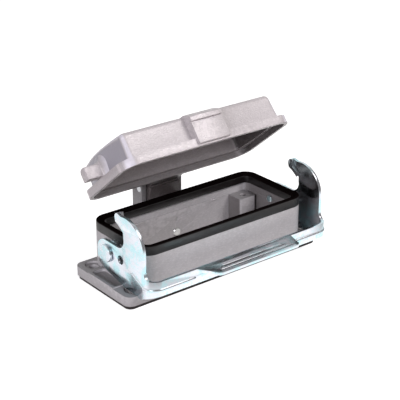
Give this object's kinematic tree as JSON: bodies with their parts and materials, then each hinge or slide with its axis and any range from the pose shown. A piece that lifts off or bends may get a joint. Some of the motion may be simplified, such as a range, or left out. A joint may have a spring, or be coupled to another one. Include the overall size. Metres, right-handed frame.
{
  "type": "heavy duty rectangular connector housing",
  "caption": "Cast bulkhead housing of a heavy duty rectangular connector: box on a drilled flange, black seal, hinged cover and a U-shaped sheet steel locking lever.",
  "frame": {"origin": "centre of the mounting face, which is the underside of the flange gasket", "axes": "+X along the housing, +Y towards the cover's hinge, +Z away from the panel"},
  "size_m": [0.117, 0.0838, 0.0768],
  "materials": {
    "housing_casting": "fine sand-cast texture, grey powder coat",
    "bracket_casting": "cast, grey powder coat",
    "cover_casting": "cast, light grey powder coat",
    "mating_seal": "smooth, slightly glossy",
    "flange_gasket": "matt",
    "lever_zinc": "blue zinc plated sheet steel",
    "stud_zinc": "blue zinc plated",
    "washer_zinc": "zinc plated",
    "rivet_steel": "plain steel",
    "pin_steel": "plain steel"
  },
  "bodies": {
    "base": {"base_housing": "housing_casting", "mating_seal": "mating_seal", "flange_gasket": "flange_gasket", "hinge_bracket": "bracket_casting", "bracket_rivet": "rivet_steel", "bracket_locating_pin": "rivet_steel", "hinge_pin": "pin_steel", "pivot_stud_left": "stud_zinc", "pivot_stud_right": "stud_zinc", "pivot_washer_left": "washer_zinc", "pivot_washer_right": "washer_zinc", "spring_washer_left": "washer_zinc", "spring_washer_right": "washer_zinc", "detent_pin_left": "pin_steel", "detent_pin_right": "pin_steel"},
    "lever": {"locking_lever": "lever_zinc"},
    "cover": {"cover": "cover_casting"}
  },
  "joints": [
    {"name": "lever_pivot", "type": "hinge", "parent": "base", "child": "lever", "pos_m": [0, 0.0005, 0.0195], "axis": [-1, 0, 0], "range_deg": [0, 31]},
    {"name": "cover_hinge", "type": "hinge", "parent": "base", "child": "cover", "pos_m": [0, 0.0329, 0.02945], "axis": [-1, 0, 0], "range_deg": [-39.55, 65]}
  ]
}
